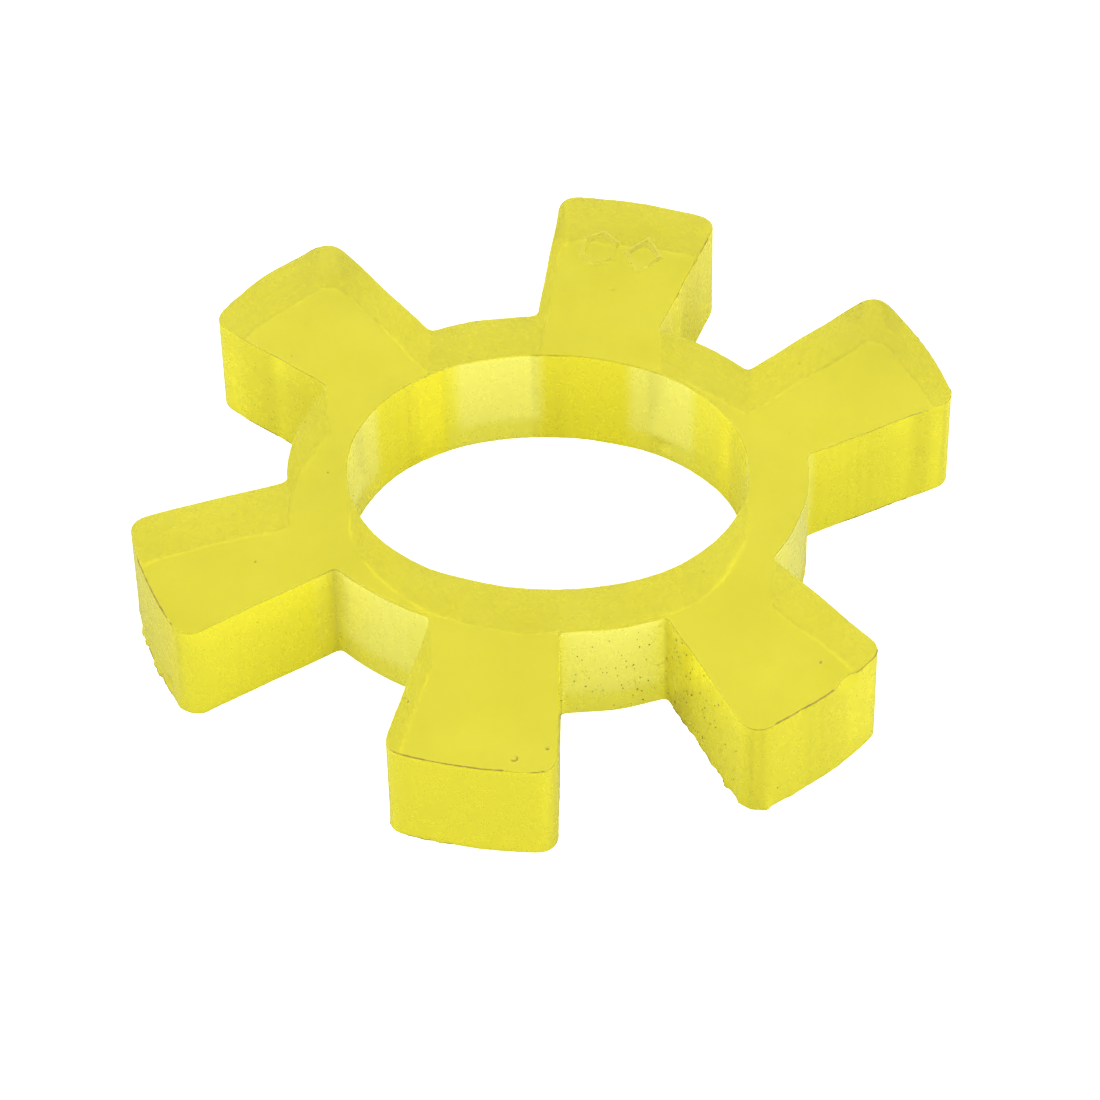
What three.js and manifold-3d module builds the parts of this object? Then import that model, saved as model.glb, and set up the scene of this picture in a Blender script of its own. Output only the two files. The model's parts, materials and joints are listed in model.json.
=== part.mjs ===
// Elastomer spider of a jaw coupling: one cast polyurethane star that lies between the two hubs.
// A slightly oval ring carries six legs, and each leg takes the load of one hub jaw on each flank.
// Millimetres, +Z up. The underside is at z = 0, the marked leg points along +Y, and the
// origin is the middle of the underside of the bounding box.

import * as THREE from 'three';
import { mergeVertices } from 'three/addons/utils/BufferGeometryUtils.js';
import Module from 'manifold-3d';

const wasm = await Module();
wasm.setup();

// Driving dimensions
const TIP_RADIUS = 28;            // the leg tips lie on a circle of 56 mm diameter
const THICKNESS = 8;              // ring and legs are the same height
const RING_OUTER_RADIUS = 16.45;  // mean radius of the ring's outer wall, between the legs
const RING_INNER_RADIUS = 12.4;   // mean radius of the central hole
const RING_OVAL = 1.25;           // how far the relaxed ring stands out along its long axis
const RING_LONG_AXIS = 9;         // direction of that long axis, degrees from +X
const FIRST_LEG_ANGLE = 90;       // the marked leg, degrees from +X
const LEG_ROOT_RADIUS = 15;       // each leg swings about this point in the middle of the ring wall
const LEG_ROOT_HALF_WIDTH = 4.3;  // half the leg's width there
const LEG_ROOT_DEPTH = 1;         // each leg starts this far inside that point
const FLANK_TAPER = 7;            // each flank opens outwards by this many degrees
const TIP_CORNER_RADIUS = 1.3;    // the upright corners at the leg tips

// Each leg of the relaxed casting is a little out of true
const LEG_LEAN = [-1, 17, -13.5, 6, 9, -2.5];           // off its radius, degrees
const LEG_STRETCH = [-0.3, 0.7, -0.3, -0.6, 0.5, 0];    // past the tip circle

// The raised mould mark on the marked leg: a hexagon outline beside a diamond outline
const MARK_HEIGHT = 0.25;
const MARK_LINE = 0.4;
const MARK_HALF_WIDTH = 1.4;
const MARK_STRETCH = 1.35;        // each sign is this much taller than wide
const MARK_OFFSET = 1.6;          // each sign stands this far to one side of the leg's middle
const MARK_RADIUS = 22.3;

// Facets
const RING_STEPS = 144;
const ARC_STEPS = 10;

const MARK_SINK = 0.5;            // how far the mark's walls reach down into the leg
const HEXAGON_CORNERS = 6;
const DIAMOND_CORNERS = 4;
const WELD_DISTANCE = 1e-5;       // points closer than this are one point
const POLYURETHANE = { color: 0xe8e02a, roughness: 0.35, metalness: 0.0 };

const radians = THREE.MathUtils.degToRad;

/** Turns a closed geometry into a manifold solid. */
function solid(geometry) {
  const plain = geometry.clone();
  plain.deleteAttribute('normal');
  plain.deleteAttribute('uv');
  const merged = mergeVertices(plain, WELD_DISTANCE);
  return new wasm.Manifold(new wasm.Mesh({
    numProp: 3,
    vertProperties: merged.attributes.position.array,
    triVerts: Uint32Array.from(merged.index.array),
  }));
}

/** Turns a manifold solid back into a geometry. */
function geometryOf(manifold) {
  const mesh = manifold.getMesh();
  const geometry = new THREE.BufferGeometry();
  geometry.setAttribute('position', new THREE.BufferAttribute(mesh.vertProperties, 3));
  geometry.setIndex(new THREE.BufferAttribute(mesh.triVerts, 1));
  geometry.computeVertexNormals();
  return geometry;
}

/** Extrudes a flat shape upwards from z = 0. */
function plate(shape, height) {
  return new THREE.ExtrudeGeometry(shape, {
    depth: height,
    bevelEnabled: false,
    curveSegments: ARC_STEPS,
  });
}

/** Points of the ring's oval wall: a circle that stands out twice per turn. */
function ovalPoints(radius) {
  return Array.from({ length: RING_STEPS }, (_, step) => {
    const angle = (step / RING_STEPS) * 2 * Math.PI;
    const reach = radius + RING_OVAL * Math.cos(2 * (angle - radians(RING_LONG_AXIS)));
    return new THREE.Vector2(reach * Math.cos(angle), reach * Math.sin(angle));
  });
}

/** The ring between the two oval walls. */
function ring() {
  const outline = new THREE.Shape(ovalPoints(RING_OUTER_RADIUS));
  outline.holes.push(new THREE.Path(ovalPoints(RING_INNER_RADIUS)));
  return solid(plate(outline, THICKNESS));
}

/** Where one flank's line, moved inwards by inset, meets a circle about the ring's centre. */
function flankMeetsCircle(root, side, inset, radius) {
  const taper = radians(FLANK_TAPER);
  const along = new THREE.Vector2(Math.cos(taper), side * Math.sin(taper));
  const inward = new THREE.Vector2(along.y, -along.x).multiplyScalar(side);
  const start = new THREE.Vector2(root.x, root.y + side * LEG_ROOT_HALF_WIDTH)
    .addScaledVector(inward, inset);
  const reach = start.dot(along);
  const distance = Math.sqrt(reach * reach + radius * radius - start.lengthSq()) - reach;
  return start.addScaledVector(along, distance);
}

/** Outline of one leg, lying along +X with the ring's centre at the origin. */
function legOutline(lean, tipRadius) {
  const root = new THREE.Vector2(LEG_ROOT_RADIUS * Math.cos(lean), -LEG_ROOT_RADIUS * Math.sin(lean));
  const taper = radians(FLANK_TAPER);
  const cornerCircle = tipRadius - TIP_CORNER_RADIUS;
  const right = flankMeetsCircle(root, -1, TIP_CORNER_RADIUS, cornerCircle);
  const left = flankMeetsCircle(root, 1, TIP_CORNER_RADIUS, cornerCircle);
  const rightFlankNormal = -Math.PI / 2 - taper;
  const leftFlankNormal = Math.PI / 2 + taper;
  const outline = new THREE.Shape();
  outline.moveTo(root.x, root.y + LEG_ROOT_HALF_WIDTH);
  outline.lineTo(root.x - LEG_ROOT_DEPTH, root.y + LEG_ROOT_HALF_WIDTH);
  outline.lineTo(root.x - LEG_ROOT_DEPTH, root.y - LEG_ROOT_HALF_WIDTH);
  outline.lineTo(root.x, root.y - LEG_ROOT_HALF_WIDTH);
  outline.absarc(right.x, right.y, TIP_CORNER_RADIUS, rightFlankNormal, right.angle() - 2 * Math.PI, false);
  outline.absarc(0, 0, tipRadius, right.angle() - 2 * Math.PI, left.angle(), false);
  outline.absarc(left.x, left.y, TIP_CORNER_RADIUS, left.angle(), leftFlankNormal, false);
  outline.closePath();
  return outline;
}

/** One leg, turned to its place around the ring. */
function leg(index) {
  const lean = radians(LEG_LEAN[index]);
  const heading = radians(FIRST_LEG_ANGLE - (index * 360) / LEG_LEAN.length) + lean;
  const geometry = plate(legOutline(lean, TIP_RADIUS + LEG_STRETCH[index]), THICKNESS);
  geometry.rotateZ(heading);
  return solid(geometry);
}

/** A raised outline of a regular polygon, standing on the top face of the marked leg. */
function markOutline(corners, turn, offset) {
  const polygon = (halfWidth) => Array.from({ length: corners }, (_, corner) => {
    const angle = turn + (corner / corners) * 2 * Math.PI;
    return new THREE.Vector2(halfWidth * Math.cos(angle), MARK_STRETCH * halfWidth * Math.sin(angle));
  });
  const outline = new THREE.Shape(polygon(MARK_HALF_WIDTH));
  outline.holes.push(new THREE.Path(polygon(MARK_HALF_WIDTH - MARK_LINE)));
  const geometry = plate(outline, MARK_SINK + MARK_HEIGHT);
  geometry.translate(offset, MARK_RADIUS, THICKNESS - MARK_SINK);
  return solid(geometry);
}

/** The mould mark, two plain signs side by side across the marked leg. */
function mouldMark() {
  const hexagon = markOutline(HEXAGON_CORNERS, Math.PI / HEXAGON_CORNERS, -MARK_OFFSET);
  const diamond = markOutline(DIAMOND_CORNERS, 0, MARK_OFFSET);
  return hexagon.add(diamond);
}

/** The whole star: ring, legs and mark joined into the single casting. */
function spiderGeometry() {
  const star = LEG_LEAN.reduce((body, _, index) => body.add(leg(index)), ring());
  const geometry = geometryOf(star.add(mouldMark()));
  geometry.computeBoundingBox();
  const middle = geometry.boundingBox.getCenter(new THREE.Vector3());
  return geometry.translate(-middle.x, -middle.y, 0);
}

const spider = new THREE.Mesh(spiderGeometry(), new THREE.MeshStandardMaterial(POLYURETHANE));
spider.name = 'spider';

const part = new THREE.Group();
part.add(spider);

export default part;
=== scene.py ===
"""Looks of the spider of a jaw coupling, a star cast in hazy yellow polyurethane.

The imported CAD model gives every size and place. The casting is rebuilt here as one fine mesh
with rounded edges, a slightly uneven poured face, knife marks on its flanks, mould flash and a
raised mould mark, and it is dressed in a translucent, tinted polyurethane.
"""

import json
import logging
import math
from collections.abc import Callable
from dataclasses import dataclass, field
from enum import Enum

import bpy
import numpy as np
from mathutils import Matrix, Vector
from mathutils.geometry import delaunay_2d_cdt


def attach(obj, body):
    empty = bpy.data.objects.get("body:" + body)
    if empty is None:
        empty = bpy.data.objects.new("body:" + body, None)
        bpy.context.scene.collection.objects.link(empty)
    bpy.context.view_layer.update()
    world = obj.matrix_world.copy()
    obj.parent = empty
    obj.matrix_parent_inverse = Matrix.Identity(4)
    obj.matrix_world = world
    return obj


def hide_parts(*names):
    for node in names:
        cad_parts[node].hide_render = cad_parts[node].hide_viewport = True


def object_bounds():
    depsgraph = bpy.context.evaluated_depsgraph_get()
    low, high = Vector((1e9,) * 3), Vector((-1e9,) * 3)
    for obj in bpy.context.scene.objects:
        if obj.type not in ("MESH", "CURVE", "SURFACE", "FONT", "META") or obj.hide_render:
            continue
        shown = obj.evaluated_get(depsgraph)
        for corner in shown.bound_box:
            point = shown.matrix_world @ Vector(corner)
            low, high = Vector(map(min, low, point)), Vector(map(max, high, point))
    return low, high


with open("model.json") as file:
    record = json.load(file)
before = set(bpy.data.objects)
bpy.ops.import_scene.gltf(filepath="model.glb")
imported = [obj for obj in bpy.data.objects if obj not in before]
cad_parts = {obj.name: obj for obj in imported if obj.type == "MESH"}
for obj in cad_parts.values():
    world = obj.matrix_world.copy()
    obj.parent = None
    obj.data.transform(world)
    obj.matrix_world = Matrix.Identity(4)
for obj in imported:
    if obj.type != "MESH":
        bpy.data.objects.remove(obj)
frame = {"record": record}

LOG = logging.getLogger("spider")
CAD_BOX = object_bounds()
MM = 0.001
LEGS = 6
RING_MIDDLE = 15 * MM
BODY = "root"
NODE = "spider"


# What the CAD model and its record say ------------------------------------------------------


@dataclass
class Loop:
    """One closed wall of the casting seen from above, with the material on its left.

    Attributes:
        points: Corner points in metres, one row each.
        normals: Unit vectors that point out of the material, one row each.
        walked: Distance walked along the wall to each point, in metres.
        length: Length of the whole wall, in metres.
    """

    points: np.ndarray
    normals: np.ndarray = field(init=False)
    walked: np.ndarray = field(init=False)
    length: float = field(init=False)

    def __post_init__(self) -> None:
        """Works out the normals and the distances."""
        ahead = np.roll(self.points, -1, axis=0) - self.points
        steps = np.linalg.norm(ahead, axis=1)
        tangents = ahead / steps[:, None]
        joined = tangents + np.roll(tangents, 1, axis=0)
        joined /= np.linalg.norm(joined, axis=1)[:, None]
        self.normals = np.column_stack([joined[:, 1], -joined[:, 0]])
        self.walked = np.concatenate([[0.0], np.cumsum(steps)[:-1]])
        self.length = float(steps.sum())

    def resampled(self, step: float, rounds: int) -> "Loop":
        """Cuts the wall into even steps and softens its corners.

        Args:
            step: Wanted distance between points, in metres.
            rounds: How many times each point moves towards the middle of its neighbours.

        Returns:
            The finer loop.
        """
        closed = np.vstack([self.points, self.points[:1]])
        walked = np.append(self.walked, self.length)
        at = np.linspace(0.0, self.length, round(self.length / step), endpoint=False)
        fine = np.column_stack([np.interp(at, walked, closed[:, axis]) for axis in range(2)])
        for _ in range(rounds):
            fine = 0.5 * fine + 0.25 * (np.roll(fine, 1, axis=0) + np.roll(fine, -1, axis=0))
        return Loop(fine)


@dataclass
class Star:
    """The outline of the casting as the CAD solid has it.

    Attributes:
        node: The CAD node.
        tolerance: Distance within which two corners are the same, in metres.
    """

    node: bpy.types.Object
    tolerance: float = 1e-8

    def heights(self) -> list[float]:
        """Gives the heights of the underside, of the top face and of the mark's top."""
        return sorted({round(vertex.co.z, 6) for vertex in self.node.data.vertices})

    def loops(self, height: float) -> list[Loop]:
        """Reads the rims of the flat faces that lie at one height.

        Args:
            height: The height of those faces, in metres.

        Returns:
            The rims, longest first.
        """
        corners: dict[tuple[int, int], int] = {}
        spots: list[tuple[float, float]] = []
        used: set[tuple[int, int]] = set()
        looks_up = True
        for polygon in self.node.data.polygons:
            places = [self.node.data.vertices[i].co for i in polygon.vertices]
            if any(round(place.z - height, 6) for place in places):
                continue
            looks_up = polygon.normal.z > 0
            ids = []
            for place in places:
                key = (round(place.x / self.tolerance), round(place.y / self.tolerance))
                if key not in corners:
                    corners[key] = len(spots)
                    spots.append((place.x, place.y))
                ids.append(corners[key])
            used.update((ids[k - 1], ids[k]) for k in range(len(ids)))
        rim = {a: b for a, b in sorted(used) if (b, a) not in used}
        loops = []
        while rim:
            start = min(rim)
            chain = [start]
            after = rim.pop(start)
            while after != start:
                chain.append(after)
                after = rim.pop(after)
            ordered = chain if looks_up else chain[::-1]
            loops.append(Loop(np.array([spots[i] for i in ordered])))
        return sorted(loops, key=lambda loop: -loop.length)


def in_blocks(points: np.ndarray, work: Callable[[np.ndarray], np.ndarray]) -> np.ndarray:
    """Runs work on a few points at a time, so that its tables stay small.

    Args:
        points: Points seen from above, one row each.
        work: Turns a block of points into one value for each.

    Returns:
        One value for each point.
    """
    block = 1500
    parts = [work(points[start:start + block]) for start in range(0, len(points), block)]
    return np.concatenate(parts) if parts else np.zeros(0)


def inside(points: np.ndarray, loops: list[Loop]) -> np.ndarray:
    """Says which points lie on the material between the walls.

    Args:
        points: Points seen from above, one row each.
        loops: All the walls.

    Returns:
        One boolean for each point.
    """
    def odd(block: np.ndarray) -> np.ndarray:
        """Counts the walls to the right of each point of a block."""
        crossed = np.zeros(len(block), dtype=int)
        for loop in loops:
            a = loop.points
            b = np.roll(a, -1, axis=0)
            spans = (a[None, :, 1] > block[:, 1:]) != (b[None, :, 1] > block[:, 1:])
            rise = np.where(a[:, 1] == b[:, 1], 1.0, b[:, 1] - a[:, 1])
            crossing = a[None, :, 0] + (block[:, 1:] - a[None, :, 1]) * ((b[:, 0] - a[:, 0]) / rise)[None]
            crossed += (spans & (block[:, :1] < crossing)).sum(axis=1)
        return crossed % 2 == 1

    return in_blocks(points, odd).astype(bool)


def clearance(points: np.ndarray, loops: list[Loop]) -> np.ndarray:
    """Gives each point's distance to the nearest wall.

    Args:
        points: Points seen from above, one row each.
        loops: All the walls, with their points close together.

    Returns:
        One distance for each point, in metres.
    """
    walls = np.vstack([loop.points for loop in loops])
    return in_blocks(points, lambda block: np.linalg.norm(block[:, None] - walls[None], axis=2).min(axis=1))


@dataclass
class Leg:
    """One leg, as its two flank mounts place it.

    Attributes:
        ccw: Middle of its counter-clockwise flank, seen from above, in metres.
        cw: Middle of its clockwise flank.
    """

    ccw: np.ndarray
    cw: np.ndarray

    @classmethod
    def from_record(cls, number: int) -> "Leg":
        """Reads a leg's mounts, by its number in the record."""
        places = {mount["name"]: np.array(mount["pos_m"][:2])
                  for mount in frame["record"]["mounts"]}
        return cls(places[f"leg_{number}_flank_ccw"], places[f"leg_{number}_flank_cw"])

    def place(self, reach: float, across: float) -> np.ndarray:
        """Gives a place on the leg.

        Args:
            reach: Distance from the ring's centre, in metres.
            across: Distance counter-clockwise from the leg's middle line, in metres.

        Returns:
            The place, seen from above.
        """
        middle = 0.5 * (self.ccw + self.cw)
        side = (self.ccw - self.cw) / np.linalg.norm(self.ccw - self.cw)
        outward = np.array([side[1], -side[0]])
        start = middle - outward * (middle @ outward)
        return start + outward * reach + side * across


@dataclass(frozen=True)
class Spot:
    """A place on the casting, given by a leg.

    Attributes:
        leg: Number of the leg.
        reach: Distance from the ring's centre, in metres.
        across: Distance counter-clockwise from the leg's middle line, in metres.
    """

    leg: int
    reach: float
    across: float

    def middle(self) -> np.ndarray:
        """Gives the place, seen from above."""
        return Leg.from_record(self.leg).place(self.reach, self.across)


# Unevenness of a hand-poured casting ---------------------------------------------------------


@dataclass(frozen=True)
class Unevenness:
    """Smooth random unevenness that comes out the same each time.

    Attributes:
        seed: Seed of the random draws.
        shortest: Shortest wave, in metres.
        longest: Longest wave, in metres.
        height: Typical height, in metres.
        waves: How many waves are added up.
    """

    seed: int
    shortest: float
    longest: float
    height: float
    waves: int = 24

    def draws(self) -> tuple[np.ndarray, np.ndarray, np.ndarray]:
        """Draws each wave's length, start and heading."""
        draw = np.random.default_rng(self.seed)
        sizes = np.exp(draw.uniform(math.log(self.shortest), math.log(self.longest), self.waves))
        starts = draw.uniform(0.0, 2 * math.pi, self.waves)
        headings = draw.uniform(0.0, 2 * math.pi, self.waves)
        return sizes, starts, headings

    def along(self, loop: Loop) -> np.ndarray:
        """Gives the unevenness at each point of a closed wall."""
        sizes, starts, _ = self.draws()
        turns = np.maximum(1, np.round(loop.length / sizes))
        angle = 2 * math.pi * loop.walked[:, None] * turns / loop.length + starts
        return self.height * np.sin(angle).sum(axis=1) / math.sqrt(self.waves / 2)

    def over(self, points: np.ndarray) -> np.ndarray:
        """Gives the unevenness at points seen from above."""
        sizes, starts, headings = self.draws()
        travel = points[:, :1] * np.cos(headings) + points[:, 1:2] * np.sin(headings)
        angle = 2 * math.pi * travel / sizes + starts
        return self.height * np.sin(angle).sum(axis=1) / math.sqrt(self.waves / 2)


def nearness(points: np.ndarray, middle: np.ndarray, radius: float) -> np.ndarray:
    """Gives 1 at a place, falling smoothly to 0 at a radius from it.

    Args:
        points: Points seen from above, one row each.
        middle: The place.
        radius: Where the value reaches 0, in metres.

    Returns:
        One value for each point.
    """
    share = np.clip(1.0 - np.linalg.norm(points[:, :2] - middle, axis=1) / radius, 0.0, 1.0)
    return share * share * (3.0 - 2.0 * share)


@dataclass(frozen=True)
class Patch(Spot):
    """A round place on the casting where there is more of something.

    Attributes:
        radius: Where the amount reaches 0, in metres.
        amount: The amount in the middle.
    """

    radius: float
    amount: float = 1.0

    def over(self, points: np.ndarray) -> np.ndarray:
        """Gives the amount at each point."""
        return self.amount * nearness(points, self.middle(), self.radius)


class Scar(Enum):
    """What a small flaw in the top face looks like."""

    CRESCENT = "crescent cut"
    SEAM = "shallow line across the leg's root"
    PIMPLE = "raised air bubble"
    PIT = "burst air bubble"


SEAM_LINE = 0.06    # half the width of a seam's line, as a share of the seam's size
CUT_LINE = 0.22     # half the width of a crescent's line, as a share of its size
CUT_REACH = 0.7     # how far that line lies from the crescent's middle, as a share of its size


@dataclass(frozen=True)
class Flaw(Spot):
    """A small flaw in the top face.

    Attributes:
        scar: Its look.
        size: Its radius, in metres.
        height: How far it stands up, or how deep it is when negative, in metres.
        turn: Direction of a crescent's open side, in radians.
    """

    scar: Scar
    size: float
    height: float
    turn: float = 0.0

    def cover(self, points: np.ndarray) -> np.ndarray:
        """Says how much of the flaw each point has.

        Args:
            points: Points seen from above, one row each.

        Returns:
            One value from 0 to 1 for each point.
        """
        offset = points[:, :2] - self.middle()
        reach = np.linalg.norm(offset, axis=1)
        if self.scar is Scar.SEAM:
            line = (np.linalg.norm(points[:, :2], axis=1) - self.reach) / (SEAM_LINE * self.size)
            return np.exp(-line ** 2) * nearness(points, self.middle(), self.size)
        if self.scar is not Scar.CRESCENT:
            return nearness(points, self.middle(), self.size)
        line = CUT_LINE * self.size
        facing = np.cos(np.arctan2(offset[:, 1], offset[:, 0]) - self.turn)
        return np.exp(-((reach - CUT_REACH * self.size) / line) ** 2) * np.clip(0.5 - 1.2 * facing, 0.0, 1.0)


@dataclass(frozen=True)
class Nick(Spot):
    """A small piece broken out of a wall.

    Attributes:
        height: Height of its middle, in metres.
        half_width: Half its width along the wall, in metres.
        half_height: Half its height up the wall, in metres.
        depth: How far the wall is pushed in, in metres.
    """

    height: float
    half_width: float
    half_height: float
    depth: float

    def push(self, points: np.ndarray, height: float) -> np.ndarray:
        """Gives how far one row of a wall is pushed in.

        Args:
            points: The wall's points seen from above.
            height: The row's height, in metres.

        Returns:
            One distance for each point, in metres.
        """
        away = np.linalg.norm(points - self.middle(), axis=1) / self.half_width
        off = abs(height - self.height) / self.half_height
        return self.depth * np.exp(-away ** 4) * math.exp(-off ** 4)


# Meshes ---------------------------------------------------------------------------------------


def mesh_object(name: str, vertices: np.ndarray, faces: list[tuple[int, ...]],
                material: bpy.types.Material) -> bpy.types.Object:
    """Makes a smooth-shaded object at the origin.

    Args:
        name: Name of the object and of its mesh.
        vertices: Points in metres, one row each.
        faces: Corner numbers of each face, counter-clockwise seen from outside.
        material: What the whole mesh is made of.

    Returns:
        The object, in the scene.
    """
    mesh = bpy.data.meshes.new(name)
    mesh.from_pydata([tuple(row) for row in vertices.tolist()], [], faces)
    mesh.validate()
    mesh.shade_smooth()
    mesh.materials.append(material)
    thing = bpy.data.objects.new(name, mesh)
    bpy.context.scene.collection.objects.link(thing)
    return thing


def honeycomb(low: np.ndarray, high: np.ndarray, step: float) -> np.ndarray:
    """Fills a rectangle with evenly spaced points.

    Args:
        low: Its lower corner, in metres.
        high: Its upper corner.
        step: Distance between neighbours, in metres.

    Returns:
        The points, one row each.
    """
    rise = step * math.sqrt(3) / 2
    rows = np.arange(low[1], high[1], rise)
    columns = np.arange(low[0], high[0], step)
    x, y = np.meshgrid(columns, rows)
    x[1::2] += step / 2
    return np.column_stack([x.ravel(), y.ravel()])


@dataclass(frozen=True)
class FinePatch:
    """A round patch of a face with closer points, where there is something small to show.

    Attributes:
        middle: Its middle, seen from above.
        radius: Its radius, in metres.
        step: Distance between its points, in metres.
    """

    middle: np.ndarray
    radius: float
    step: float

    def covers(self, points: np.ndarray) -> np.ndarray:
        """Says which points lie in the patch."""
        return np.linalg.norm(points - self.middle, axis=1) < self.radius

    def points(self) -> np.ndarray:
        """Gives the patch's own points."""
        filled = honeycomb(self.middle - self.radius, self.middle + self.radius, self.step)
        return filled[self.covers(filled)]


def flat_face(rims: list[Loop], step: float, patches: list[FinePatch]) -> tuple[np.ndarray, np.ndarray]:
    """Cuts the face between some rims into small triangles.

    Args:
        rims: The rims, whose points come first and stay as they are.
        step: Distance between inner points, in metres.
        patches: Where the points lie closer together.

    Returns:
        The inner points, and the triangles as rows of point numbers, counter-clockwise from above.
    """
    edge = np.vstack([rim.points for rim in rims])
    inner = honeycomb(edge.min(axis=0), edge.max(axis=0), step)
    spacing = np.full(len(inner), step)
    for patch in patches:
        kept = ~patch.covers(inner)
        added = patch.points()
        inner = np.vstack([inner[kept], added])
        spacing = np.concatenate([spacing[kept], np.full(len(added), patch.step)])
    clear = inside(inner, rims)
    clear[clear] = clearance(inner[clear], rims) > 0.6 * spacing[clear]
    inner = inner[clear]
    borders = []
    first = 0
    for rim in rims:
        count = len(rim.points)
        borders += [(first + k, first + (k + 1) % count) for k in range(count)]
        first += count
    spots = [Vector(row) for row in np.vstack([edge, inner]).tolist()]
    made = delaunay_2d_cdt(spots, borders, [], 0, 1e-9)
    own = np.array([origins[0] for origins in made[3]])
    triangles = own[np.array(made[2])]
    places = np.vstack([edge, inner])
    a, b, c = (places[triangles[:, k]] for k in range(3))
    wound = (b[:, 0] - a[:, 0]) * (c[:, 1] - a[:, 1]) - (b[:, 1] - a[:, 1]) * (c[:, 0] - a[:, 0])
    triangles[wound < 0] = triangles[wound < 0][:, ::-1]
    return inner, triangles[inside((a + b + c) / 3, rims)]


# Finishes -------------------------------------------------------------------------------------


Nodes = bpy.types.NodeTree
Colour = tuple[float, float, float]

# Noise waves per metre
CLOUD_WAVES = 170.0
SCUFF_WAVES = 900.0
KNIFE_WAVES = 1500.0
DIRT_WAVES = 2500.0
COAT_WAVES = 6.0


def node(tree: Nodes, kind: str, inputs: dict | None = None, **settings: object) -> bpy.types.Node:
    """Adds a node to a tree.

    Args:
        tree: The tree.
        kind: Blender's name of the node's type.
        inputs: A value or an output socket for each input, by its name or number.
        settings: The node's own settings, by name.

    Returns:
        The node.
    """
    made = tree.nodes.new(kind)
    for name, value in settings.items():
        setattr(made, name, value)
    for name, value in (inputs or {}).items():
        if isinstance(value, bpy.types.NodeSocket):
            tree.links.new(value, made.inputs[name])
        else:
            made.inputs[name].default_value = value
    return made


def mixed(tree: Nodes, share: bpy.types.NodeSocket, first: object, second: object) -> bpy.types.NodeSocket:
    """Mixes two colours.

    Args:
        tree: The tree.
        share: How much of the second colour there is.
        first: The first colour, or a socket that gives it.
        second: The second colour, or a socket that gives it.

    Returns:
        The socket that gives the mix.
    """
    one, two = ((*colour, 1.0) if isinstance(colour, tuple) else colour for colour in (first, second))
    return node(tree, "ShaderNodeMix", {"Factor": share, 6: one, 7: two}, data_type="RGBA").outputs[2]


def blank_material(name: str) -> tuple[bpy.types.Material, Nodes, bpy.types.Node]:
    """Makes a material with only its output node.

    Args:
        name: The material's name.

    Returns:
        The material, its tree and the output node.
    """
    material = bpy.data.materials.new(name)
    material.use_nodes = True
    material.node_tree.nodes.clear()
    output = node(material.node_tree, "ShaderNodeOutputMaterial")
    return material, material.node_tree, output


def cast_skin() -> Nodes:
    """Builds the skin of a casting once: slow clouds, scuffs and upright knife marks.

    Returns:
        The node group. Its inputs are Place, Upright (1 on walls), Smooth, Scuffed and Matt (what
        walls have more of); its outputs are Cloud, Roughness and Height.
    """
    name = "cast_skin"
    if name in bpy.data.node_groups:
        return bpy.data.node_groups[name]
    group = bpy.data.node_groups.new(name, "ShaderNodeTree")
    group.interface.new_socket("Place", in_out="INPUT", socket_type="NodeSocketVector")
    for label in ("Upright", "Smooth", "Scuffed", "Matt"):
        group.interface.new_socket(label, in_out="INPUT", socket_type="NodeSocketFloat")
    for label in ("Cloud", "Roughness", "Height"):
        group.interface.new_socket(label, in_out="OUTPUT", socket_type="NodeSocketFloat")
    given = node(group, "NodeGroupInput")
    cloud = node(group, "ShaderNodeTexNoise",
                 {"Vector": given.outputs["Place"], "Scale": CLOUD_WAVES, "Detail": 4.0, "Roughness": 0.6})
    scuff = node(group, "ShaderNodeTexNoise",
                 {"Vector": given.outputs["Place"], "Scale": SCUFF_WAVES, "Detail": 3.0, "Roughness": 0.65})
    drawn = node(group, "ShaderNodeVectorMath",
                 {0: given.outputs["Place"], 1: (1.0, 1.0, 0.05)}, operation="MULTIPLY")
    knife = node(group, "ShaderNodeTexNoise",
                 {"Vector": drawn.outputs[0], "Scale": KNIFE_WAVES, "Detail": 2.0, "Roughness": 0.5})
    rough = node(group, "ShaderNodeMapRange",
                 {"Value": scuff.outputs["Fac"], "From Min": 0.35, "From Max": 0.7,
                  "To Min": given.outputs["Smooth"], "To Max": given.outputs["Scuffed"]})
    matt = node(group, "ShaderNodeMath",
                {0: given.outputs["Upright"], 1: given.outputs["Matt"], 2: rough.outputs[0]},
                operation="MULTIPLY_ADD")
    upright = node(group, "ShaderNodeMath",
                   {0: knife.outputs["Fac"], 1: given.outputs["Upright"]}, operation="MULTIPLY")
    soft = node(group, "ShaderNodeMath", {0: scuff.outputs["Fac"], 1: 0.25}, operation="MULTIPLY")
    height = node(group, "ShaderNodeMath", {0: upright.outputs[0], 1: soft.outputs[0]})
    node(group, "NodeGroupOutput", {"Cloud": cloud.outputs["Fac"], "Roughness": matt.outputs[0],
                                    "Height": height.outputs[0]})
    return group


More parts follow.
